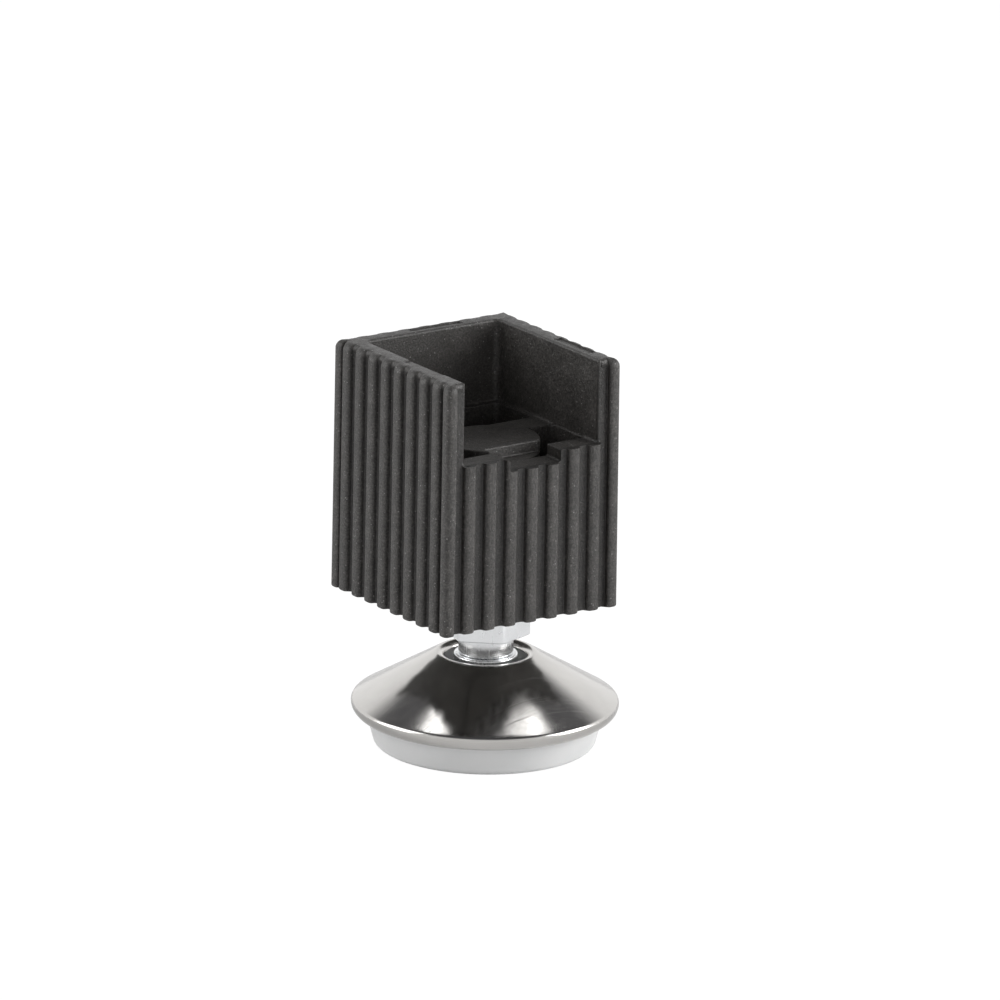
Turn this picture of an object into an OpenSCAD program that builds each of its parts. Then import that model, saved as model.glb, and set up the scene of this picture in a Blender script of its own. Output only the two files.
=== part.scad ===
// Adjustable levelling foot for the end of a square tube.
// Millimetres, Z up. The origin is on the floor, under the stem's axis.
// The low, notched side of the tube insert faces -Y.

/* [Base pad] */
// Radius of the pad where it meets the floor
pad_r = 21.5; // [18:0.1:22]
// Radius of the pad just under the cover's edge
pad_top_r = 22.3; // [19:0.1:23]
// Radius of the rounding on the pad's bottom edge
pad_edge_r = 0.8; // [0.3:0.1:1.5]
// Thickness of the pad's floor outside the socket
pad_floor_t = 3.2; // [2.2:0.1:4]

/* [Dish cover] */
// Radius of the dish at its widest
rim_r = 25; // [23:0.1:30]
// Height of the widest line above the floor
rim_z = 8; // [7:0.1:9]
// Height of the dish's top ring
dish_top_z = 17.7; // [16.5:0.1:19]
// Thickness of the pressed sheet
sheet_t = 0.8; // [0.6:0.1:1]
// Radius of the hole that the stem comes out of
hole_r = 7.6; // [7.4:0.1:8.6]

/* [Ball ring] */
// Radius of the ball that sits in the pad's socket
ball_r = 7; // [6.8:0.05:7.2]
// Height of the ball's centre
ball_z = 11.2; // [10.5:0.1:11.8]
// Radius of the ring's sleeve, seen in the hole
sleeve_r = 6; // [5.6:0.1:6.2]
// Height of the sleeve's top face
sleeve_top_z = 17.5; // [16.5:0.1:18.5]

/* [Stem] */
// Radius of the pin that the ring turns on
journal_r = 4; // [3:0.1:4.2]
// Radius of the neck above the ring
neck_r = 5.15; // [4.6:0.05:5.5]
// Distance across the spanner flats
hex_af = 14.5; // [13:0.1:17]
// Height of the hexagon
hex_h = 5.4; // [4:0.1:7]
// Height of the hexagon's bottom face above the floor
hex_z = 21.4; // [20.5:0.1:23]
// Turn of the hexagon about the stem's axis, in degrees
hex_turn = 18.5; // [0:0.5:60]
// Radius of the thread's crests
thread_r = 4.95; // [4.5:0.05:5]
// Length of the thread above the hexagon
thread_len = 28.6; // [24:0.1:29]

/* [Tube insert] */
// Width across the insert's gripping ribs
insert_w = 38.4; // [37:0.1:40]
// Height of the insert
insert_h = 47.9; // [45:0.1:52]
// Gap between the hexagon and the insert, screwed right in
insert_gap = 0.4; // [0.3:0.1:1]
// Distance from the stem's axis back to the insert's centre
insert_y = 4.4; // [3.5:0.1:4.8]
// Height of the insert that is solid, up to its inner floor
block_h = 32; // [31:0.1:34]
// Thickness of the three standing walls, ribs included
wall_t = 4.4; // [4:0.1:5]
// Radius of the insert's top edges
top_edge_r = 1.6; // [1.2:0.1:3]
// Radius of the insert's bottom edges
low_edge_r = 0.3; // [0.2:0.1:1]

/* [Gripping ribs] */
// Height of a rib above the groove's bottom
rib_d = 1.15; // [0.8:0.05:1.4]
// Width of a rib at its top
rib_top_w = 2.2; // [1.8:0.1:2.4]
// Width of a rib at its foot
rib_foot_w = 2.8; // [2.4:0.1:3.2]
// Spacing of the seven ribs on the front and back
front_pitch = 4.6; // [4.4:0.05:4.7]
// Spacing of the eight ribs on each side
side_pitch = 4.16; // [4:0.02:4.2]
// How far the side ribs are set towards the back
side_shift = 0.9; // [0:0.1:1]
// Radius of the bead on each corner
bead_r = 1.1; // [1:0.05:1.3]

/* [Pockets and notch] */
// Half the width of the back pocket
back_pocket_x = 14.3; // [12:0.1:14.6]
// Depth of the back pocket from front to back
back_pocket_w = 11.3; // [8:0.1:11.5]
// Front corner pockets, from the middle to the outer edge
side_pocket_x = 14.9; // [13:0.1:15]
// Front corner pockets, width from front to back
side_pocket_w = 9.9; // [8:0.1:10.5]
// Thickness of the insert's bottom under the pockets
insert_floor_t = 3; // [2.5:0.1:5]
// Radius of the boss where it borders the front pockets
boss_r = 9.4; // [8.6:0.1:9.6]
// Radius of the boss where it borders the back pocket
boss_back_r = 8; // [7.6:0.1:8.6]
// Width of the notch in the low side
notch_w = 12; // [8:0.1:14]
// Depth of the notch
notch_h = 2.3; // [1.5:0.1:2.5]
// Length of the notch inwards from the low side
notch_len = 8.6; // [6:0.1:8.8]
// Depth of the ejector marks in the wall tops
mark_h = 0.3; // [0.2:0.05:0.5]
// Width of an ejector mark
mark_w = 1.8; // [1.2:0.1:2.2]
// Length of an ejector mark
mark_len = 11.6; // [8:0.1:12]

/* [Threaded bush] */
// Radius of the bush
bush_r = 6.2; // [6:0.1:6.3]
// Radius of the collar that anchors it in the moulding
bush_collar_r = 6.9; // [6.7:0.1:7]
// Length of the bush
bush_len = 14; // [12:0.1:16]

/* [Hidden] */
$fn = 96;
eps = 0.5;

// Running and seating clearances
shaft_gap = 0.05;
socket_gap = 0.2;
seat_gap = 0.05;

// Pad and cover
rim_low_r = 1.8;
rim_low_angle = 85;
rim_high_r = sheet_t + 0.1;
hole_edge_r = 1.4;
hole_end_angle = 165;
arc_steps = 8;
low_cx = rim_r - rim_low_r;
high_cx = rim_r - rim_high_r;
hole_cx = hole_r + hole_edge_r;
hole_cz = dish_top_z - hole_edge_r;
// direction square to the cone that touches both the rim's and the hole's bend
cone_angle = acos((hole_edge_r - rim_high_r) / norm([high_cx - hole_cx, hole_cz - rim_z]))
    - atan2(hole_cz - rim_z, high_cx - hole_cx);
pad_neck_z = 6.3;
pad_hollow_r = 19;
socket_r = ball_r + socket_gap;
socket_wall_r = 12;
socket_lip_z = ball_z + 2.6;
socket_mouth_r = hole_cx + 0.6;

// Ring and stem
ring_low_z = ball_z - 4.8;
rivet_r = 4.65;
rivet_h = 1.2;
journal_bore_r = journal_r + shaft_gap;
rivet_seat_r = rivet_r + shaft_gap;
rivet_seat_z = ring_low_z + rivet_h;
neck_z = sleeve_top_z + shaft_gap;
hex_top_z = hex_z + hex_h;
hex_corner_r = hex_af / 2 / cos(30);
hex_chamfer_r = hex_af / 2 - 0.35;
hex_outer_r = hex_corner_r + eps;
hex_chamfer_h = (hex_outer_r - hex_chamfer_r) * tan(30);
thread_chamfer = 1;
stem_top_z = hex_top_z + thread_len;

// Insert
insert_z = hex_top_z + insert_gap;
insert_top_z = insert_z + insert_h;
block_z = insert_z + block_h;
half_w = insert_w / 2;
core_half = half_w - rib_d;
inner_half = half_w - wall_t;
inner_corner_r = 1.5;
front_clear_x = 3 * front_pitch + rib_foot_w / 2 + 0.2;
back_pocket_y = 2.5;
side_pocket_y = -3.6;
pocket_corner_r = 1.2;
notch_x = 0.7;
thread_bore_r = thread_r + 0.1;
stem_room_r = thread_r + 0.55;
stem_room_z = stem_top_z + 0.5;
bush_collar_z = 5;
bush_collar_h = 4;
bush_chamfer = 0.8;

// Points on an arc in the profile plane
function arc(cx, cz, r, from, to) =
    [for (i = [0:arc_steps]) let (a = from + (to - from) * i / arc_steps)
        [cx + r * cos(a), cz + r * sin(a)]];

// The sheet's outer face, or a face set inwards by the amount given: turned-in edge,
// rim, and the cone that runs up to the bend round the hole
function sheet_face(inset) =
    concat(
        arc(low_cx, rim_z, rim_low_r - inset, -rim_low_angle, 0),
        arc(high_cx, rim_z, rim_high_r - inset, 4, cone_angle),
        [[hole_cx, hole_cz] + (hole_edge_r - inset) * [cos(cone_angle), sin(cone_angle)]]
    );

function reversed(list) = [for (i = [len(list) - 1:-1:0]) list[i]];

// Moulded pad: a flanged disc with the ball's socket standing in its middle
module base_pad() {
    color([0.78, 0.78, 0.77])
    rotate_extrude()
    difference() {
        polygon(concat(
            [[0, 0]],
            arc(pad_r - pad_edge_r, pad_edge_r, pad_edge_r, -90, 0),
            [[pad_top_r, pad_neck_z]],
            sheet_face(sheet_t + seat_gap),
            [[0, dish_top_z - sheet_t - seat_gap]]
        ));
        // the ring-shaped hollow under the cover
        translate([socket_wall_r, pad_floor_t])
            square([pad_hollow_r - socket_wall_r, dish_top_z]);
        // the mouth above the socket's lip
        translate([-eps, socket_lip_z])
            square([socket_mouth_r + eps, dish_top_z]);
        // the socket
        translate([0, ball_z])
            circle(r = socket_r);
    }
}

// Pressed steel cover, its edge turned in round the pad's flange
module dish_cover() {
    color([0.66, 0.64, 0.6])
    rotate_extrude()
        polygon(concat(
            sheet_face(0),
            arc(hole_cx, hole_cz, hole_edge_r, cone_angle + 8, hole_end_angle),
            reversed(sheet_face(sheet_t))
        ));
}

// Steel ring between the pad and the stem, with a ball for its lower end
module ball_ring() {
    color([0.72, 0.74, 0.77])
    difference() {
        union() {
            intersection() {
                translate([0, 0, ball_z])
                    sphere(r = ball_r);
                translate([0, 0, ring_low_z])
                    cylinder(r = ball_r + eps, h = sleeve_top_z - ring_low_z - eps);
            }
            translate([0, 0, ball_z])
                cylinder(r = sleeve_r, h = sleeve_top_z - ball_z);
        }
        translate([0, 0, ring_low_z - eps])
            cylinder(r = journal_bore_r, h = sleeve_top_z - ring_low_z + 2 * eps);
        translate([0, 0, ring_low_z - eps])
            cylinder(r = rivet_seat_r, h = rivet_h + eps);
    }
}

// Threaded stem with its spanner hexagon, neck and riveted pin
module stem() {
    color([0.72, 0.75, 0.8])
    union() {
        // riveted end under the ring
        translate([0, 0, ring_low_z])
            cylinder(r = rivet_r, h = rivet_h - shaft_gap);
        translate([0, 0, ring_low_z + shaft_gap])
            cylinder(r = journal_r, h = hex_z - ring_low_z);
        translate([0, 0, neck_z])
            cylinder(r = neck_r, h = hex_z - neck_z + eps);
        // hexagon with its upper rim turned down
        intersection() {
            translate([0, 0, hex_z])
                rotate([0, 0, hex_turn])
                    cylinder(r = hex_corner_r, h = hex_h, $fn = 6);
            translate([0, 0, hex_z])
                rotate_extrude()
                    polygon([
                        [0, 0],
                        [hex_outer_r, 0],
                        [hex_outer_r, hex_h - hex_chamfer_h],
                        [hex_chamfer_r, hex_h],
                        [0, hex_h]
                    ]);
        }
        translate([0, 0, hex_top_z - eps])
            cylinder(r = thread_r, h = thread_len - thread_chamfer + eps);
        translate([0, 0, stem_top_z - thread_chamfer])
            cylinder(r1 = thread_r, r2 = thread_r - thread_chamfer, h = thread_chamfer);
    }
}

// Steel bush moulded into the insert's bottom, with the thread's bore
module bush_blank(grow) {
    cylinder(r = bush_r + grow, h = bush_len);
    translate([0, 0, bush_collar_z])
        cylinder(r = bush_collar_r + grow, h = bush_collar_h);
}

module threaded_bush() {
    color([0.6, 0.6, 0.58])
    translate([0, 0, insert_z])
    difference() {
        bush_blank(0);
        translate([0, 0, -eps])
            cylinder(r = thread_bore_r, h = bush_len + 2 * eps);
        translate([0, 0, -eps])
            cylinder(r1 = thread_bore_r + bush_chamfer + eps, r2 = thread_bore_r, h = bush_chamfer + eps);
    }
}

// One gripping rib standing on a face whose outward direction is +Y
module rib() {
    polygon([
        [-rib_foot_w / 2, core_half - eps],
        [rib_foot_w / 2, core_half - eps],
        [rib_foot_w / 2, core_half],
        [rib_top_w / 2, half_w],
        [-rib_top_w / 2, half_w],
        [-rib_foot_w / 2, core_half]
    ]);
}

// The insert seen from above: core, ribs and corner beads
module insert_section() {
    square(2 * core_half, center = true);
    for (s = [-1, 1]) {
        for (i = [-3:3])
            translate([i * front_pitch, 0])
                rotate(90 - 90 * s)
                    rib();
        for (i = [0:7])
            translate([0, (i - 3.5) * side_pitch + side_shift])
                rotate(-90 * s)
                    rib();
        for (t = [-1, 1])
            translate([s * (half_w - bead_r), t * (half_w - bead_r)])
                circle(r = bead_r);
    }
}

// The insert seen from one side: a slab with rounded corners
module side_section() {
    translate([-half_w, low_edge_r])
        square([2 * half_w, insert_h - low_edge_r - top_edge_r]);
    translate([-half_w + top_edge_r, insert_h - top_edge_r - eps])
        square([2 * (half_w - top_edge_r), top_edge_r + eps]);
    translate([-half_w + low_edge_r, 0])
        square([2 * (half_w - low_edge_r), low_edge_r + eps]);
    for (s = [-1, 1]) {
        translate([s * (half_w - top_edge_r), insert_h - top_edge_r])
            circle(r = top_edge_r);
        translate([s * (half_w - low_edge_r), low_edge_r])
            circle(r = low_edge_r);
    }
}

// A rectangle from one corner to the other, with rounded corners
module round_rect(x0, y0, x1, y1, r) {
    translate([x0 + r, y0])
        square([x1 - x0 - 2 * r, y1 - y0]);
    translate([x0, y0 + r])
        square([x1 - x0, y1 - y0 - 2 * r]);
    for (x = [x0 + r, x1 - r])
        for (y = [y0 + r, y1 - r])
            translate([x, y])
                circle(r = r);
}

// The insert's outer form
module insert_blank() {
    intersection() {
        linear_extrude(insert_h)
            insert_section();
        rotate([90, 0, 0])
            linear_extrude(insert_w + 2 * eps, center = true)
                side_section();
        rotate([90, 0, 90])
            linear_extrude(insert_w + 2 * eps, center = true)
                side_section();
    }
}

// Moulded plug: three walls on a solid block with pockets, a notch and the
// boss round the bush and the stem
module tube_insert() {
    color([0.17, 0.16, 0.15])
    difference() {
        translate([0, insert_y, insert_z])
        difference() {
            insert_blank();
            // the hollow between the walls, open to the low side
            translate([0, 0, block_h])
                linear_extrude(insert_h)
                    round_rect(-inner_half, -insert_w, inner_half, inner_half, inner_corner_r);
            // the gap between the front ends of the side walls
            translate([-front_clear_x, -insert_w, block_h])
                cube([2 * front_clear_x, insert_w - core_half, insert_h]);
            // the back pocket
            translate([0, 0, insert_floor_t])
                linear_extrude(insert_h)
                    difference() {
                        round_rect(-back_pocket_x, back_pocket_y, back_pocket_x,
                            back_pocket_y + back_pocket_w, pocket_corner_r);
                        translate([0, -insert_y])
                            circle(r = boss_back_r);
                    }
            // the two front corner pockets
            for (s = [-1, 1])
                scale([s, 1, 1])
                    translate([0, 0, insert_floor_t])
                        linear_extrude(insert_h)
                            difference() {
                                round_rect(0, side_pocket_y - side_pocket_w, side_pocket_x,
                                    side_pocket_y, pocket_corner_r);
                                translate([0, -insert_y])
                                    circle(r = boss_r);
                                square([4 * eps, insert_w], center = true);
                            }
            // the notch in the low side
            translate([notch_x - notch_w / 2, -insert_w, block_h - notch_h])
                cube([notch_w, insert_w - half_w + notch_len, insert_h]);
            // ejector marks in the tops of the walls
            translate([-half_w + wall_t - mark_w, -mark_len, insert_h - mark_h])
                cube([mark_w, mark_len, insert_h]);
            translate([half_w - wall_t + mark_w / 2, -mark_len - mark_w, insert_h - mark_h])
                cube([mark_w, mark_len, insert_h]);
            translate([-mark_len / 2 + mark_w, half_w - wall_t + mark_w / 2, insert_h - mark_h])
                cube([mark_len, mark_w, insert_h]);
        }
        // seat of the bush and room for the stem's thread
        translate([0, 0, insert_z])
            bush_blank(seat_gap);
        translate([0, 0, insert_z - eps])
            cylinder(r = bush_r + seat_gap, h = bush_len);
        translate([0, 0, insert_z])
            cylinder(r = stem_room_r, h = stem_room_z - insert_z);
    }
}

base_pad();
dish_cover();
ball_ring();
stem();
threaded_bush();
tube_insert();
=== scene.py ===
import math

import bmesh
import bpy
import numpy as np
from mathutils import Matrix, Vector


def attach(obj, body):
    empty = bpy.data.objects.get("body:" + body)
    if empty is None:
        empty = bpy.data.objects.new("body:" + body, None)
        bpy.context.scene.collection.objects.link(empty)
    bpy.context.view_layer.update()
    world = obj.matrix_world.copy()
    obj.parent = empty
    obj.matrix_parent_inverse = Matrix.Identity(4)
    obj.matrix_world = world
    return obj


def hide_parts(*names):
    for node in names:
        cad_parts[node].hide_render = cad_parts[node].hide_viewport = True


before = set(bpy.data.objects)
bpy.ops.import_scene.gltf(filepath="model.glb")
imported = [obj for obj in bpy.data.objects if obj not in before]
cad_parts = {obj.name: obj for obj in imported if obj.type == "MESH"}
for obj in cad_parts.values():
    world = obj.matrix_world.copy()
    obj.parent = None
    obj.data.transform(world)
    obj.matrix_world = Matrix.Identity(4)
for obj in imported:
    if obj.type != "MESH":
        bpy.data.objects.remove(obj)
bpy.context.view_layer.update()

# Base pad. A disc of pale grey plastic, moulded in one with the socket for the ball;
# it stands on the floor, and the steel cover is pressed over its flange.
MM = 0.001
DEGREE = math.pi / 180
AXIS_Z = 11.2
RIM_R = 25.0
RIM_Z = 8.0
SHEET = 0.8
SEAT_GAP = 0.05
BEND_R = 0.9
LOW_BEND_R = 2.2
DISH_TOP = 17.7
HOLE_R = 7.6
HOLE_EDGE_R = 1.4
PAD_LOW_R = 20.9
PAD_EDGE_R = 1.3
PAD_NECK = [22.3, 6.2]
PAD_FLOOR = 3.2
PAD_HOLLOW_R = 19.0
SOCKET_WALL_R = 12.0
SOCKET_MOUTH_R = 9.6
SOCKET_LIP_Z = 13.8
SOCKET_R = 7.2


def softened(corners, reach, steps=6, closed=True):
    """Outline whose corner P becomes the curve (1-t)^2 A + 2t(1-t) P + t^2 B,
    where A and B lie the given reach from P towards the corners beside it."""
    p = np.asarray(corners, float)
    reach = np.broadcast_to(reach, len(p))[:, None]
    back = np.roll(p, 1, 0) - p
    ahead = np.roll(p, -1, 0) - p
    back_len = np.linalg.norm(back, axis=1)[:, None]
    ahead_len = np.linalg.norm(ahead, axis=1)[:, None]
    a = p + back / back_len * np.minimum(reach, 0.48 * back_len)
    b = p + ahead / ahead_len * np.minimum(reach, 0.48 * ahead_len)
    t = np.linspace(0, 1, steps)[:, None, None]
    curve = ((1 - t) ** 2 * a + 2 * t * (1 - t) * p + t ** 2 * b).transpose(1, 0, 2)
    if closed:
        return curve.reshape(-1, 2)
    return np.vstack([p[:1], curve[1:-1].reshape(-1, 2), p[-1:]])


def arc(cx, cz, r, start, end, steps=12):
    """Points (cx + r cos a, cz + r sin a) as a goes from start to end, in degrees."""
    a = np.linspace(start, end, steps) * DEGREE
    return np.stack([cx + r * np.cos(a), cz + r * np.sin(a)], axis=1)


def sheet_face(inset, steps=24):
    """The cover's outer face from its turned-in edge to the hole, or a face set in by
    the given distance: two arcs round the rim, then the cone that touches both the rim's
    bend, of centre P, and the hole's bend, of centre Q."""
    p = np.array([RIM_R - BEND_R, RIM_Z])
    q = np.array([HOLE_R + HOLE_EDGE_R, DISH_TOP - HOLE_EDGE_R])
    run, rise = p[0] - q[0], q[1] - p[1]
    cone = math.acos((HOLE_EDGE_R - BEND_R) / math.hypot(run, rise)) - math.atan2(rise, run)
    normal = np.array([math.cos(cone), math.sin(cone)])
    t = np.linspace(0, 1, steps)[1:, None]
    low = arc(RIM_R - LOW_BEND_R, RIM_Z, LOW_BEND_R - inset, -85, 0, 12)
    high = arc(*p, BEND_R - inset, 6, cone / DEGREE, 8)
    slope = (1 - t) * (p + (BEND_R - inset) * normal) + t * (q + (HOLE_EDGE_R - inset) * normal)
    return np.vstack([low, high, slope])


def grid_faces(rows, columns, close_rows=False):
    """Quads of a grid whose columns run round the axis and close on themselves."""
    i = np.arange(rows if close_rows else rows - 1)[:, None]
    j = np.arange(columns)[None, :]
    up = (i + 1) % rows
    ahead = (j + 1) % columns
    quads = [i * columns + j, i * columns + ahead, up * columns + ahead, up * columns + j]
    return np.stack(quads, axis=-1).reshape(-1, 4)


def new_piece(name, points, faces, smooth_angle=35):
    """A mesh object at the origin from points in millimetres and lists of corners."""
    mesh = bpy.data.meshes.new(name)
    mesh.from_pydata((np.asarray(points) * MM).tolist(), [], faces)
    mesh.polygons.foreach_set("use_smooth", np.ones(len(mesh.polygons), bool))
    mesh.set_sharp_from_angle(angle=smooth_angle * DEGREE)
    piece = bpy.data.objects.new(name, mesh)
    bpy.context.scene.collection.objects.link(piece)
    return piece


def turned(name, profile, around=216, closed=False):
    """A turned form: the profile's point (r, z) lies at (r cos a, r sin a, z) for every
    angle a. A closed profile is a ring; an open one starts and ends on the axis."""
    ring = profile if closed else profile[1:-1]
    a = np.arange(around) * 2 * math.pi / around
    x = ring[:, :1] * np.cos(a)
    y = ring[:, :1] * np.sin(a)
    z = ring[:, 1:] + 0 * a
    points = np.stack([x, y, z], axis=-1).reshape(-1, 3)
    faces = grid_faces(len(ring), around, closed).tolist()
    if not closed:
        low, high = len(points), len(points) + 1
        points = np.vstack([points, [0, 0, profile[0, 1]], [0, 0, profile[-1, 1]]])
        j = np.arange(around)
        ahead = (j + 1) % around
        last = (len(ring) - 1) * around
        faces += np.stack([ahead, j, 0 * j + low], axis=1).tolist()
        faces += np.stack([last + j, last + ahead, 0 * j + high], axis=1).tolist()
    return new_piece(name, points, faces)


def node_material(name):
    """A material with its tree, its Principled shader and Object coordinates."""
    material = bpy.data.materials.new(name)
    material.use_nodes = True
    tree = material.node_tree
    shader = tree.nodes["Principled BSDF"]
    place = tree.nodes.new("ShaderNodeTexCoord")
    return material, tree, shader, place.outputs["Object"]


def noise(tree, vector, scale, detail=4.0, roughness=0.5):
    """Noise of the given scale per metre."""
    node = tree.nodes.new("ShaderNodeTexNoise")
    node.inputs["Scale"].default_value = scale
    node.inputs["Detail"].default_value = detail
    node.inputs["Roughness"].default_value = roughness
    tree.links.new(vector, node.inputs["Vector"])
    return node.outputs["Fac"]


def ramp(tree, value, stops):
    """A colour ramp through (position, colour) stops."""
    node = tree.nodes.new("ShaderNodeValToRGB")
    node.color_ramp.elements[0].position = stops[0][0]
    node.color_ramp.elements[0].color = (*stops[0][1], 1)
    node.color_ramp.elements[1].position = stops[-1][0]
    node.color_ramp.elements[1].color = (*stops[-1][1], 1)
    for position, colour in stops[1:-1]:
        node.color_ramp.elements.new(position).color = (*colour, 1)
    tree.links.new(value, node.inputs["Fac"])
    return node.outputs["Color"]


def remap(tree, value, low, high, out_low, out_high):
    """value taken from the range low..high to out_low..out_high, and held inside it."""
    node = tree.nodes.new("ShaderNodeMapRange")
    for key, number in zip(("From Min", "From Max", "To Min", "To Max"), (low, high, out_low, out_high)):
        node.inputs[key].default_value = number
    tree.links.new(value, node.inputs["Value"])
    return node.outputs["Result"]


def bump(tree, shader, height, distance, strength=1.0, normal=None):
    """A Bump node, its height in units of the given distance in millimetres."""
    node = tree.nodes.new("ShaderNodeBump")
    node.inputs["Distance"].default_value = distance * MM
    node.inputs["Strength"].default_value = strength
    tree.links.new(height, node.inputs["Height"])
    if normal is not None:
        tree.links.new(normal, node.inputs["Normal"])
    if shader is not None:
        tree.links.new(node.outputs["Normal"], shader.inputs["Normal"])
    return node.outputs["Normal"]


def pad_plastic():
    """Pale grey plastic: faintly cloudy, with a fine grain from its mould."""
    material, tree, shader, place = node_material("pad_plastic")
    cloud = noise(tree, place, 90, 3)
    tint = ramp(tree, cloud, [(0.3, (0.60, 0.605, 0.605)), (0.7, (0.65, 0.65, 0.65))])
    tree.links.new(tint, shader.inputs["Base Color"])
    tree.links.new(remap(tree, noise(tree, place, 900, 2), 0.3, 0.7, 0.34, 0.46), shader.inputs["Roughness"])
    bump(tree, shader, noise(tree, place, 1600, 3), 0.012, 0.6)
    return material


# the profile runs up the side, under the cover, through the hollow and into the socket
pad_profile = np.vstack([
    [[0, 0]],
    arc(PAD_LOW_R - PAD_EDGE_R, PAD_EDGE_R, PAD_EDGE_R, -90, -10, 10),
    [PAD_NECK],
    sheet_face(SHEET + SEAT_GAP)[:26],
    [[PAD_HOLLOW_R, 11.0], [PAD_HOLLOW_R, PAD_FLOOR], [SOCKET_WALL_R, PAD_FLOOR], [SOCKET_WALL_R, 15.1],
     [SOCKET_MOUTH_R, 16.3], [SOCKET_MOUTH_R, SOCKET_LIP_Z]],
    arc(0, AXIS_Z, SOCKET_R, 21.17, -90, 24),
])
pad = turned("pad_disc", pad_profile)
pad.data.materials.append(pad_plastic())
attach(pad, "foot")
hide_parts("base_pad")

# Dish cover. A cone pressed from 0.8 mm steel sheet, polished, with its edge turned in
# under the pad's flange and a round hole in the middle for the stem.


def calculate(tree, operation, first, second):
    """The result of a Math node on two values; the second may be a number."""
    node = tree.nodes.new("ShaderNodeMath")
    node.operation = operation
    tree.links.new(first, node.inputs[0])
    if isinstance(second, (int, float)):
        node.inputs[1].default_value = second
    else:
        tree.links.new(second, node.inputs[1])
    return node.outputs[0]


def scratch_group():
    """Three layers of fine scratches: 1 along each scratch times the amount, else 0."""
    group = bpy.data.node_groups.new("fine_scratches", "ShaderNodeTree")
    group.interface.new_socket("Vector", in_out="INPUT", socket_type="NodeSocketVector")
    amount = group.interface.new_socket("Amount", in_out="INPUT", socket_type="NodeSocketFloat")
    amount.default_value = 1.0
    group.interface.new_socket("Marks", in_out="OUTPUT", socket_type="NodeSocketFloat")
    ends_in = group.nodes.new("NodeGroupInput")
    ends_out = group.nodes.new("NodeGroupOutput")
    layers = []
    for turn, stretch in ((25, (60, 2600, 60)), (-48, (80, 3200, 80)), (82, (50, 2200, 50))):
        mapping = group.nodes.new("ShaderNodeMapping")
        mapping.inputs["Rotation"].default_value = (0.3, 0.2, turn * DEGREE)
        mapping.inputs["Scale"].default_value = stretch
        group.links.new(ends_in.outputs["Vector"], mapping.inputs["Vector"])
        lines = group.nodes.new("ShaderNodeTexNoise")
        lines.inputs["Scale"].default_value = 1.0
        lines.inputs["Detail"].default_value = 2.0
        group.links.new(mapping.outputs["Vector"], lines.inputs["Vector"])
        layers.append(remap(group, lines.outputs["Fac"], 0.66, 0.74, 0, 1))
    total = layers[0]
    for layer in layers[1:]:
        total = calculate(group, "MAXIMUM", total, layer)
    group.links.new(calculate(group, "MULTIPLY", total, ends_in.outputs["Amount"]), ends_out.inputs["Marks"])
    return group


scratches = scratch_group()


def metal(name, colour, low, high, amount, wave=0.0):
    """Bare or plated metal: cloudy roughness between low and high, fine scratches, and
    a slow unevenness of the sheet where wave is set, in millimetres."""
    material, tree, shader, place = node_material(name)
    shader.inputs["Metallic"].default_value = 1.0
    cloud = noise(tree, place, 160, 4)
    dark = tuple(0.93 * c for c in colour)
    tree.links.new(ramp(tree, cloud, [(0.3, dark), (0.7, colour)]), shader.inputs["Base Color"])
    marks = tree.nodes.new("ShaderNodeGroup")
    marks.node_tree = scratches
    marks.inputs["Amount"].default_value = amount
    tree.links.new(place, marks.inputs["Vector"])
    rough = remap(tree, noise(tree, place, 420, 5, 0.6), 0.3, 0.7, low, high)
    scratched = calculate(tree, "MULTIPLY", marks.outputs["Marks"], 0.12)
    tree.links.new(calculate(tree, "ADD", scratched, rough), shader.inputs["Roughness"])
    normal = None
    if wave:
        normal = bump(tree, None, noise(tree, place, 60, 2), wave)
    bump(tree, shader, marks.outputs["Marks"], -0.004, 1.0, normal)
    return material


dish_profile = np.vstack([
    sheet_face(0),
    arc(HOLE_R + HOLE_EDGE_R, DISH_TOP - HOLE_EDGE_R, HOLE_EDGE_R, 66, 160, 12),
    [[HOLE_R + 0.2, 16.63]],
    sheet_face(SHEET)[::-1],
])
dish = turned("pressed_cover", dish_profile, 288, closed=True)
dish.data.materials.append(metal("polished_cover_steel", (0.60, 0.585, 0.565), 0.13, 0.20, 0.7, 0.02))
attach(dish, "foot")
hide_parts("dish_cover")

# Ball ring. A turned steel ring on the stem's pin: a sleeve that shows in the cover's
# hole, over a ball that turns and tilts in the pad's socket.
SLEEVE_R = 6.0
SLEEVE_TOP = 17.5
BALL_R = 7.0
RING_LOW = 6.4
PIN_BORE_R = 4.05
RIVET_SEAT_R = 4.7
RIVET_SEAT_Z = 7.6
ball_angle = math.acos(SLEEVE_R / BALL_R) / DEGREE
ring_profile = np.vstack([
    [[4.85, 6.35], [4.95, RING_LOW]],
    arc(0, AXIS_Z, BALL_R, -43.3, ball_angle, 28),
    softened([[SLEEVE_R, 15.1], [SLEEVE_R, SLEEVE_TOP], [PIN_BORE_R, SLEEVE_TOP], [PIN_BORE_R, RIVET_SEAT_Z],
              [RIVET_SEAT_R, RIVET_SEAT_Z], [RIVET_SEAT_R, RING_LOW]],
             [0.05, 0.35, 0.15, 0.05, 0.05, 0.05], 5, closed=False),
])
ring = turned("ball_sleeve", ring_profile, 144, closed=True)
plated = metal("bright_zinc_plate", (0.88, 0.89, 0.90), 0.18, 0.30, 0.5)
ring.data.materials.append(plated)
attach(ring, "swivel")
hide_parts("ball_ring")

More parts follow.
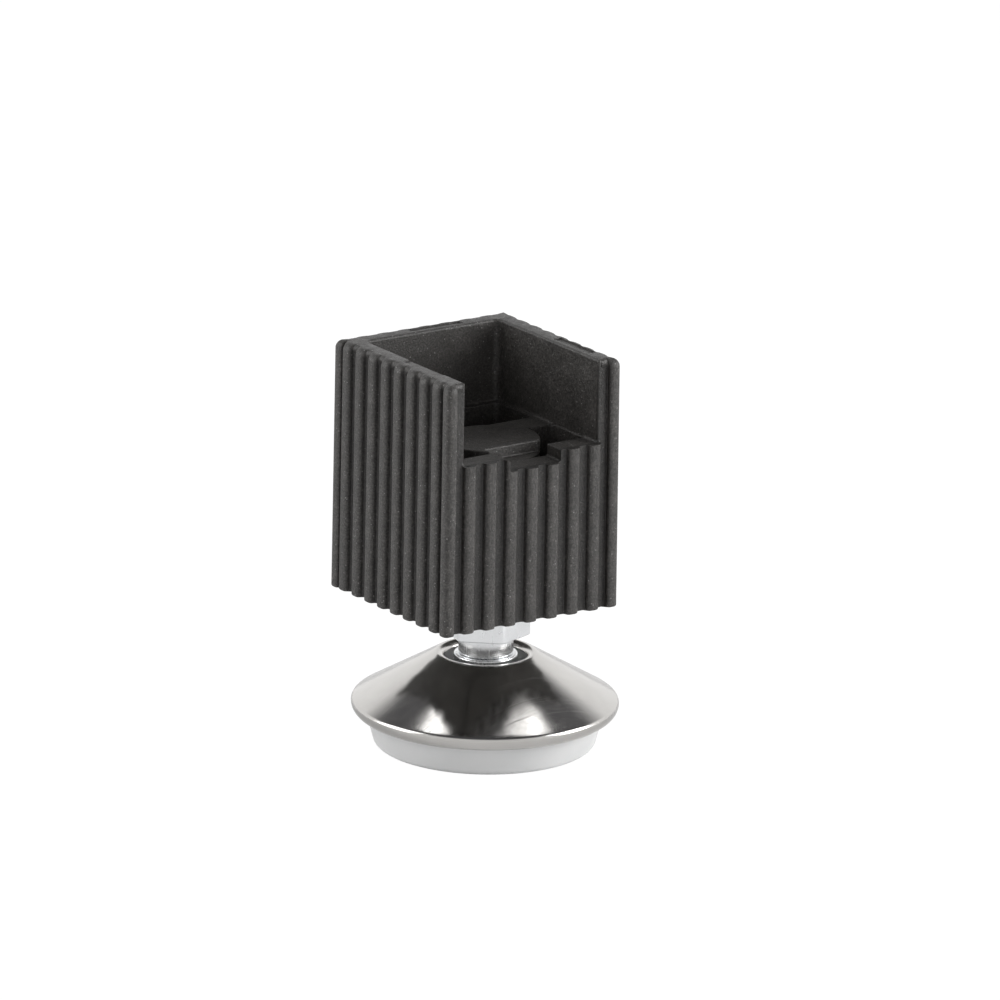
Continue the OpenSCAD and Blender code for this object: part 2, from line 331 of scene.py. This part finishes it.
# Stem. Turned from hexagon bar and zinc plated: riveted pin, neck, hexagon for the
# spanner and a long M10 thread that runs up into the insert's bush.
COLUMNS = 120
HEX_AF = 14.5
HEX_TURN = 18.5
HEX_LOW = 21.4
HEX_TOP = 26.8
HEX_CHAMFER_R = 6.9
HEX_WEAR = 0.12
THREAD_TOP = 55.4
CREST_R = 4.95
PITCH = 1.5
PIN_R = 4.0
RIVET_R = 4.65
RIVET_TOP = 7.55
NECK_R = 5.15
NECK_LOW = 17.55
turn = np.arange(COLUMNS) * 2 * math.pi / COLUMNS


def round_rows(profile):
    """Rows of one radius each, from a profile of (r, z) points."""
    profile = np.asarray(profile, float)
    return profile[:, :1] + 0 * turn, profile[:, 1]


def hexagon_rows():
    """Radius min(hexagon(a), cone(z)), with hexagon(a) = (AF / 2) / cos of the angle from
    the nearest flat's middle, and a cone of 30 degrees at the top only."""
    corner_r = HEX_AF / 2 / math.cos(30 * DEGREE)
    rise = np.linspace(0, 1, 9) * (corner_r - HEX_CHAMFER_R) * math.tan(30 * DEGREE)
    z = np.concatenate([[HEX_LOW, HEX_LOW + HEX_WEAR], HEX_TOP - rise[::-1]])
    cone = HEX_CHAMFER_R + (HEX_TOP - z) / math.tan(30 * DEGREE)
    flat = np.abs((turn / DEGREE) % 60 - 30) * DEGREE
    hexagon = HEX_AF / 2 / np.cos(flat)
    worn = np.minimum(hexagon, corner_r - HEX_WEAR)
    rows = np.minimum(worn[None, :], cone[:, None])
    rows[0] -= HEX_WEAR
    return rows, z


def thread_rows(low, high, rows_per_pitch=14):
    """Radius crest - 0.9 (1 - tooth(z / pitch - a / 2 pi)): a right-hand thread whose tooth
    is a triangle cut flat at crest and root, with a run-out at the bottom and a chamfer."""
    z = np.linspace(low, high, int((high - low) / PITCH * rows_per_pitch))
    phase = (z[:, None] / PITCH - turn[None, :] / (2 * math.pi)) % 1
    tooth = np.clip((1 - np.abs(2 * phase - 1)) * 1.55 - 0.22, 0, 1)
    runout = np.clip((z - low) / 1.6, 0, 1)[:, None]
    radius = CREST_R - 0.9 * (1 - tooth) * runout
    lead_in = (CREST_R - 0.95) + np.maximum(high - z, 0)[:, None]
    return np.minimum(radius, lead_in), z


lower = softened([
    [0, RING_LOW], [RIVET_R, RING_LOW], [RIVET_R, RIVET_TOP], [PIN_R, RIVET_TOP], [PIN_R, NECK_LOW],
    [NECK_R, NECK_LOW], [NECK_R, HEX_LOW], [HEX_CHAMFER_R, HEX_LOW]],
    [0.01, 0.25, 0.15, 0.1, 0.1, 0.25, 0.2, 0.01], 5, closed=False)
upper = softened([[HEX_CHAMFER_R, HEX_TOP], [CREST_R, HEX_TOP], [CREST_R, HEX_TOP + 1.0]], 0.2, 4, closed=False)
parts = [round_rows(lower[1:-1]), hexagon_rows(), round_rows(upper[1:]),
         thread_rows(HEX_TOP + 1.1, THREAD_TOP), round_rows([[3.9, THREAD_TOP + 0.02]])]
radius = np.vstack([part[0] for part in parts])
height = np.concatenate([part[1] for part in parts])
angle = turn + HEX_TURN * DEGREE
stem_points = np.stack([radius * np.cos(angle), radius * np.sin(angle), height[:, None] + 0 * radius], axis=-1)
stem_points = stem_points.reshape(-1, 3)
stem_faces = grid_faces(len(height), COLUMNS).tolist()
stem_low, stem_high = len(stem_points), len(stem_points) + 1
stem_points = np.vstack([stem_points, [0, 0, height[0]], [0, 0, height[-1]]])
column = np.arange(COLUMNS)
beside = (column + 1) % COLUMNS
last_row = (len(height) - 1) * COLUMNS
stem_faces += np.stack([beside, column, 0 * column + stem_low], axis=1).tolist()
stem_faces += np.stack([last_row + column, last_row + beside, 0 * column + stem_high], axis=1).tolist()
stem = new_piece("threaded_stem", stem_points, stem_faces, 24)
stem.data.materials.append(plated)
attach(stem, "stem")
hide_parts("stem")

# Threaded bush. Plain turned steel, moulded into the insert's bottom, where only its
# lower face shows; the solid's own shape is right and gets its finish here.
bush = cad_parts["threaded_bush"]
bush.data.materials.clear()
bush.data.materials.append(metal("turned_bush_steel", (0.50, 0.495, 0.48), 0.24, 0.36, 0.5))

# Tube insert. One black moulding of glass-filled nylon: a block with ribs and corner
# beads that grip the tube, three standing walls, moulding pockets, a notch in its low
# side and the boss round the stem. Its section is drawn about the insert's own centre.
INSERT_Y = 4.4
INSERT_LOW = 27.2
INSERT_TOP = 75.1
BLOCK_H = 32.0
FLOOR_Z = INSERT_LOW + BLOCK_H
POCKET_Z = INSERT_LOW + 3
NOTCH_Z = FLOOR_Z - 2.3
HALF = 19.2
RIB_DEPTH = 1.15
CORE = HALF - RIB_DEPTH
WALL = 4.4
INNER = HALF - WALL
CLEAR_X = 15.45
OUTSIDE = -26
TOP_EDGE = 1.6
LOW_EDGE = 0.35
BEAD = 2.25
FRONT_PITCH = 4.6
SIDE_PITCH = 4.26
SIDE_SHIFT = 0.4
MARK_DEPTH = 0.3


def side_outline(centres):
    """One side of the section from corner to corner, seen as (along, out): a bead at
    each end and a rib of trapezoid section at each centre, with softened corners."""
    along = np.array([-1.42, -1.1, 1.1, 1.42])
    out = np.array([CORE, HALF, HALF, CORE])
    ribs = np.stack([np.asarray(centres)[:, None] + along, 0 * np.asarray(centres)[:, None] + out], axis=-1)
    start = [[-HALF, HALF], [-HALF + BEAD, HALF], [-HALF + BEAD + 0.06, CORE]]
    end = [[HALF - BEAD - 0.06, CORE], [HALF - BEAD, HALF]]
    corners = np.vstack([start, ribs.reshape(-1, 2), end])
    reach = np.concatenate([[1.15, 0.85, 0.12], np.tile([0.3, 0.85, 0.85, 0.3], len(centres)), [0.12, 0.85]])
    return corners, reach


def section_outline():
    """The section's four sides, each turned a quarter from the last, as one outline."""
    sides = []
    reaches = []
    front = FRONT_PITCH * np.arange(-3, 4)
    side = SIDE_PITCH * (np.arange(8) - 3.5)
    for quarter, centres in enumerate((front, side + SIDE_SHIFT, front, side - SIDE_SHIFT)):
        corners, reach = side_outline(centres)
        a = (180 - 90 * quarter) * DEGREE
        x, y = corners[:, 0], corners[:, 1]
        turned_x = x * math.cos(a) - y * math.sin(a)
        turned_y = x * math.sin(a) + y * math.cos(a)
        sides.append(np.stack([turned_x, turned_y], axis=1))
        reaches.append(reach)
    return softened(np.vstack(sides)[::-1], np.concatenate(reaches)[::-1], 6)


def rounded_top(p, a):
    """Points of the section on the top edge at angle a. The edge turns about a square set
    in by R = TOP_EDGE; with q the way from it to p and L its length, p goes to
    r q cos a / L from the square and r sin a up, where r = R + (L - R) cos(a)^1.2."""
    core = HALF - TOP_EDGE
    over = np.maximum(np.abs(p) - core, 0)
    length = np.linalg.norm(over, axis=1)
    r = TOP_EDGE + (length - TOP_EDGE) * max(math.cos(a), 0) ** 1.2
    out = over * (r * math.cos(a) / length)[:, None]
    return np.sign(p) * (np.minimum(np.abs(p), core) + out), INSERT_TOP - TOP_EDGE + r * math.sin(a)


def prism(name, loops, heights):
    """A closed form through one loop at each height, with flat ends. A height is one
    number, or one for each point of its loop; points that meet become one."""
    count = len(loops[0])
    points = np.vstack([np.column_stack([loop, np.broadcast_to(z, count)]) for loop, z in zip(loops, heights)])
    faces = grid_faces(len(loops), count).tolist()
    faces.append(list(range(count))[::-1])
    faces.append([(len(loops) - 1) * count + j for j in range(count)])
    piece = new_piece(name, points, faces)
    joined = bmesh.new()
    joined.from_mesh(piece.data)
    bmesh.ops.remove_doubles(joined, verts=joined.verts, dist=0.001 * MM)
    joined.to_mesh(piece.data)
    joined.free()
    return piece


def grown(loop, distance):
    """A closed anticlockwise loop moved outwards by a distance along its normals."""
    edge = np.roll(loop, -1, 0) - loop
    edge = edge / np.linalg.norm(edge, axis=1)[:, None]
    normal = np.stack([edge[:, 1], -edge[:, 0]], axis=1)
    mitre = normal + np.roll(normal, 1, 0)
    mitre = mitre / np.linalg.norm(mitre, axis=1)[:, None]
    stretch = np.maximum(np.sum(mitre * normal, axis=1), 0.5)[:, None]
    return loop + distance * mitre / stretch


def anticlockwise(loop):
    """The loop, reversed if its area by the shoelace formula is negative."""
    x, y = loop[:, 0], loop[:, 1]
    area = np.sum(x * np.roll(y, -1) - y * np.roll(x, -1))
    return loop if area > 0 else loop[::-1]


# each flat end gets a loop of half the size, so that its cap is made of slim faces
section = anticlockwise(section_outline())
loops = []
heights = []
for a in np.linspace(0, 90, 4) * DEGREE:
    loops.append(grown(section, -LOW_EDGE * (1 - math.sin(a))))
    heights.append(INSERT_LOW + LOW_EDGE * (1 - math.cos(a)))
loops.insert(0, 0.5 * loops[0])
heights.insert(0, INSERT_LOW)
for a in np.linspace(0, 90, 12) * DEGREE:
    loop, z = rounded_top(section, a)
    loops.append(loop)
    heights.append(z)
loops.append(0.5 * loops[-1])
heights.append(INSERT_TOP)
insert = prism("ribbed_tube_insert", loops, heights)


def hollow_cutter(name, loop, low, high, fillet, flare):
    """A tool for a hollow that opens upwards: its bottom edge is rounded by the fillet,
    and its rim flares by a quarter circle where it reaches the height given as high."""
    a = np.linspace(0, 90, 5) * DEGREE
    cut = [grown(loop, -fillet * (1 - math.sin(t))) for t in a]
    levels = [low + fillet * (1 - math.cos(t)) for t in a]
    cut += [grown(loop, flare * (1 - math.cos(t))) for t in a]
    levels += [high - flare * (1 - math.sin(t)) for t in a]
    return prism(name, cut + [cut[-1]], levels + [high + 3])


def box_loop(x0, y0, x1, y1, reach):
    """An upright rectangle with softened corners, seen from above."""
    return softened([[x0, y0], [x1, y0], [x1, y1], [x0, y1]], reach, 6)


# the hollow between the walls, running out through the low side past the ribs' ends
hollow = softened(
    [[CLEAR_X, OUTSIDE], [CLEAR_X, -CORE], [INNER, -CORE], [INNER, INNER], [-INNER, INNER], [-INNER, -CORE],
     [-CLEAR_X, -CORE], [-CLEAR_X, OUTSIDE]],
    [0.1, 0.1, 0.45, 1.5, 1.5, 0.45, 0.1, 0.1], 7)
tools = [hollow_cutter("hollow_tool", anticlockwise(hollow), FLOOR_Z, INSERT_TOP, 0.55, 0.5)]

# the pocket along the back wall, its front edge bulging back round the boss
bulge = arc(0, -INSERT_Y, 8.0, 122, 58, 13)
back_pocket = np.vstack([[[14.3, 2.5]], [[14.3, 13.8], [-14.3, 13.8], [-14.3, 2.5]], bulge])
back_reach = np.concatenate([[1.1, 1.3, 1.3, 1.1], np.full(len(bulge), 0.3)])
tools.append(hollow_cutter("back_pocket_tool", anticlockwise(softened(back_pocket, back_reach, 5)),
                           POCKET_Z, FLOOR_Z, 0.6, 0.3))

# the pair of pockets in the front corners, round the boss
for side in (1, -1):
    waist = arc(0, -INSERT_Y, 9.4, 4, -74, 15)
    corner = np.vstack([[[14.9, -3.6]], [[9.45, -3.6]], waist, [[14.9, -13.5]]])
    corner_reach = np.concatenate([[1.2, 0.5], np.full(len(waist), 0.35), [1.2]])
    loop = softened(corner, corner_reach, 5) * [side, 1]
    tools.append(hollow_cutter("corner_pocket_tool", anticlockwise(loop), POCKET_Z, FLOOR_Z, 0.6, 0.3))

# the notch in the low side
tools.append(hollow_cutter("notch_tool", anticlockwise(box_loop(-5.3, OUTSIDE, 6.7, -10.6, 0.5)),
                           NOTCH_Z, FLOOR_Z, 0.35, 0.35))

# shallow ejector marks in the tops of the three walls
for x0, y0, x1, y1 in ((-16.6, -11.6, -14.8, 0), (15.7, -13.4, 17.5, -1.8), (-4, 15.7, 7.6, 17.5)):
    tools.append(hollow_cutter("mark_tool", anticlockwise(box_loop(x0, y0, x1, y1, 0.4)),
                               INSERT_TOP - MARK_DEPTH, INSERT_TOP, 0.08, 0.08))

# the bush's seat and the room for the thread, from below
SEAT_R = 6.22
SEAT_TOP = INSERT_LOW + 14.05
ROOM_R = 5.5
seat = np.array([[0, INSERT_LOW - 1], [SEAT_R, INSERT_LOW - 1], [SEAT_R, SEAT_TOP], [ROOM_R, SEAT_TOP],
                 [ROOM_R, THREAD_TOP + 0.5], [0, THREAD_TOP + 0.5]])
bore = turned("bore_tool", seat, 96)
bore_points = np.empty(len(bore.data.vertices) * 3)
bore.data.vertices.foreach_get("co", bore_points)
bore_points = bore_points.reshape(-1, 3) - [0, INSERT_Y * MM, 0]
bore.data.vertices.foreach_set("co", bore_points.ravel())
tools.append(bore)

for tool in tools:
    cut = insert.modifiers.new("cut", "BOOLEAN")
    cut.operation = "DIFFERENCE"
    cut.solver = "MANIFOLD"
    cut.object = tool
bpy.context.view_layer.update()
whole = bpy.data.meshes.new_from_object(insert.evaluated_get(bpy.context.evaluated_depsgraph_get()))
insert.modifiers.clear()
insert.data = whole
for tool in tools:
    bpy.data.meshes.remove(tool.data)

# the draft: the half width grows from 19.2 at the top to 19.4 at the bottom
place = np.empty(len(whole.vertices) * 3)
whole.vertices.foreach_get("co", place)
place = place.reshape(-1, 3)
draft = 0.999 + 0.010 * (INSERT_TOP * MM - place[:, 2:]) / ((INSERT_TOP - INSERT_LOW) * MM)
place[:, :2] = place[:, :2] * draft + [0, INSERT_Y * MM]
whole.vertices.foreach_set("co", place.ravel())
whole.set_sharp_from_angle(angle=32 * DEGREE)
weighted = insert.modifiers.new("flat_faces_stay_flat", "WEIGHTED_NORMAL")
weighted.keep_sharp = True
weighted.weight = 90


def mixed(tree, blend, factor, first, second):
    """A colour mixed from two, by the blend type; factor and second may be constants."""
    node = tree.nodes.new("ShaderNodeMix")
    node.data_type = "RGBA"
    node.blend_type = blend
    tree.links.new(first, node.inputs["A"])
    for key, value in (("Factor", factor), ("B", second)):
        if isinstance(value, (float, tuple)):
            node.inputs[key].default_value = value
        else:
            tree.links.new(value, node.inputs[key])
    return node.outputs["Result"]


def nylon():
    """Black glass-filled nylon: a fine grain, grey cloudiness and light specks, with painted shade in the
    grooves, which lie about 1.1 mm inside the square of the ribs: their colour is darkened to stand in for the
    shade the ribs cast there."""
    material, tree, shader, place = node_material("black_nylon")
    cloud = noise(tree, place, 260, 6, 0.65)
    axes = tree.nodes.new("ShaderNodeSeparateXYZ")
    tree.links.new(place, axes.inputs["Vector"])
    centred = calculate(tree, "SUBTRACT", axes.outputs["Y"], INSERT_Y * MM)
    square = calculate(tree, "MAXIMUM", calculate(tree, "ABSOLUTE", axes.outputs["X"], 0),
                       calculate(tree, "ABSOLUTE", centred, 0))
    # painted shade: a mask of how far a point lies inside the ribs' square, which darkens the colour at the
    # groove bottoms, about 1.1 mm in, for the shade the ribs cast into them
    inside = remap(tree, square, (HALF - 5) * MM, (HALF + 0.2) * MM, 1, 0)
    groove_shade_colour = (0.42, 0.41, 0.40)
    painted_groove_shade = ramp(tree, inside, [(0.06, (1, 1, 1)), (0.2, groove_shade_colour), (0.3, groove_shade_colour), (0.42, (1, 1, 1))])
    # the painted groove shade fades out between 1.5 and 0.6 mm under the top
    below = remap(tree, axes.outputs["Z"], (INSERT_TOP - 1.5) * MM, (INSERT_TOP - 0.6) * MM, 1, 0)
    tint = ramp(tree, cloud, [(0.3, (0.050, 0.0465, 0.043)), (0.55, (0.070, 0.0655, 0.061)),
                              (0.75, (0.105, 0.099, 0.093))])
    cells = tree.nodes.new("ShaderNodeTexVoronoi")
    cells.inputs["Scale"].default_value = 1500
    tree.links.new(place, cells.inputs["Vector"])
    speck = remap(tree, cells.outputs["Distance"], 0.14, 0.24, 1, 0)
    chance = remap(tree, noise(tree, place, 1700, 1), 0.55, 0.62, 0, 1)
    grain = noise(tree, place, 2600, 3, 0.6)
    grey = ramp(tree, grain, [(0.36, (0.34, 0.34, 0.34)), (0.5, (0.6, 0.6, 0.6)), (0.66, (1, 1, 1))])
    grained = mixed(tree, "MULTIPLY", 1.0, tint, grey)
    flecked = mixed(tree, "MIX", calculate(tree, "MULTIPLY", speck, chance), grained, (0.20, 0.195, 0.19, 1))
    # the colour is multiplied by the painted groove shade, except near the top
    tree.links.new(mixed(tree, "MULTIPLY", below, flecked, painted_groove_shade), shader.inputs["Base Color"])
    tree.links.new(remap(tree, noise(tree, place, 700, 4), 0.3, 0.7, 0.36, 0.52), shader.inputs["Roughness"])
    rough = bump(tree, None, noise(tree, place, 500, 3), 0.08, 0.6)
    bump(tree, shader, grain, 0.12, 1.0, rough)
    return material


whole.materials.clear()
whole.materials.append(nylon())
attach(insert, "insert")
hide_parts("tube_insert")

# Camera, light and floor of the stage. The camera was fitted to the photograph; the
# floor is white paper that the camera sees brighter than it is lit.
AZIMUTH = -34.44 * DEGREE
ELEVATION = 16.8 * DEGREE
ROLL = 0.98 * DEGREE
DISTANCE = 1.718
right = np.array([math.cos(AZIMUTH), math.sin(AZIMUTH), 0])
level_back = np.array([math.sin(AZIMUTH), -math.cos(AZIMUTH), 0])
back = level_back * math.cos(ELEVATION) + np.array([0, 0, math.sin(ELEVATION)])
up = np.cross(back, right)
target = right * 2.17 * MM + np.array([0, 0, 47.02 * MM])
camera = bpy.data.objects.new("camera", bpy.data.cameras.new("camera"))
camera.data.lens = 333.9
camera.data.sensor_width = 36
camera.data.clip_start = 0.01
turn_right = right * math.cos(ROLL) + up * math.sin(ROLL)
turn_up = up * math.cos(ROLL) - right * math.sin(ROLL)
pose = np.eye(4)
pose[:3, 0], pose[:3, 1], pose[:3, 2], pose[:3, 3] = turn_right, turn_up, back, target + back * DISTANCE
camera.matrix_world = Matrix(pose.tolist())
bpy.context.scene.collection.objects.link(camera)
bpy.context.scene.camera = camera


def softbox(name, place, size, power):
    """A rectangular area lamp that faces the middle of the object, at a place in metres
    given as (to the right, towards the camera, up)."""
    lamp = bpy.data.lights.new(name, "AREA")
    lamp.shape = "RECTANGLE"
    lamp.size, lamp.size_y = size
    lamp.energy = power
    stand = bpy.data.objects.new(name, lamp)
    spot = Vector((right * place[0] + level_back * place[1] + np.array([0, 0, place[2]])).tolist())
    stand.location = spot
    stand.rotation_euler = (spot - Vector((0, 0, 0.04))).to_track_quat("Z", "Y").to_euler()
    bpy.context.scene.collection.objects.link(stand)


softbox("left_softbox", (-0.9, 0.1, 0.45), (0.7, 0.8), 4.5)
softbox("right_softbox", (0.9, 0.1, 0.40), (0.6, 0.7), 8)
softbox("top_softbox", (0.0, -0.27, 0.9), (0.72, 0.18), 1.1)

floor_mesh = bpy.data.meshes.new("floor")
floor_mesh.from_pydata([(-6, -6, 0), (6, -6, 0), (6, 6, 0), (-6, 6, 0)], [], [(0, 1, 2, 3)])
floor = bpy.data.objects.new("floor", floor_mesh)
bpy.context.scene.collection.objects.link(floor)
paper = bpy.data.materials.new("white_paper")
paper.use_nodes = True
tree = paper.node_tree
shader = tree.nodes["Principled BSDF"]
shader.inputs["Base Color"].default_value = (0.86, 0.86, 0.86, 1)
shader.inputs["Roughness"].default_value = 0.8
glow = tree.nodes.new("ShaderNodeEmission")
glow.inputs["Strength"].default_value = 1.08
ray = tree.nodes.new("ShaderNodeLightPath")
mix = tree.nodes.new("ShaderNodeMixShader")
tree.links.new(calculate(tree, "MULTIPLY", ray.outputs["Is Camera Ray"], 0.88), mix.inputs["Fac"])
tree.links.new(shader.outputs["BSDF"], mix.inputs[1])
tree.links.new(glow.outputs["Emission"], mix.inputs[2])
tree.links.new(mix.outputs["Shader"], tree.nodes["Material Output"].inputs["Surface"])
floor_mesh.materials.append(paper)

# the room: a white sheet hangs low round the object, a little darker on the camera's
# side, and the ceiling is dark
world = bpy.data.worlds.new("studio")
bpy.context.scene.world = world
world.use_nodes = True
tree = world.node_tree
room = tree.nodes["Background"]
way = tree.nodes.new("ShaderNodeTexCoord")
level = tree.nodes.new("ShaderNodeSeparateXYZ")
tree.links.new(way.outputs["Generated"], level.inputs["Vector"])
sheet = ramp(tree, level.outputs["Z"], [(0.0, (1, 1, 1)), (0.5, (1, 1, 1)), (0.66, (0.12, 0.12, 0.125)),
                                        (1.0, (0.08, 0.08, 0.085))])
tree.links.new(sheet, room.inputs["Color"])
side = tree.nodes.new("ShaderNodeVectorMath")
side.operation = "DOT_PRODUCT"
side.inputs[1].default_value = level_back.tolist()
tree.links.new(way.outputs["Generated"], side.inputs[0])
tree.links.new(remap(tree, side.outputs["Value"], -1, 1, 1.1, 0.75), room.inputs["Strength"])
white = tree.nodes.new("ShaderNodeBackground")
ray = tree.nodes.new("ShaderNodeLightPath")
mix = tree.nodes.new("ShaderNodeMixShader")
tree.links.new(ray.outputs["Is Camera Ray"], mix.inputs["Fac"])
tree.links.new(room.outputs["Background"], mix.inputs[1])
tree.links.new(white.outputs["Background"], mix.inputs[2])
tree.links.new(mix.outputs["Shader"], tree.nodes["World Output"].inputs["Surface"])

bpy.context.scene.view_settings.view_transform = "Standard"
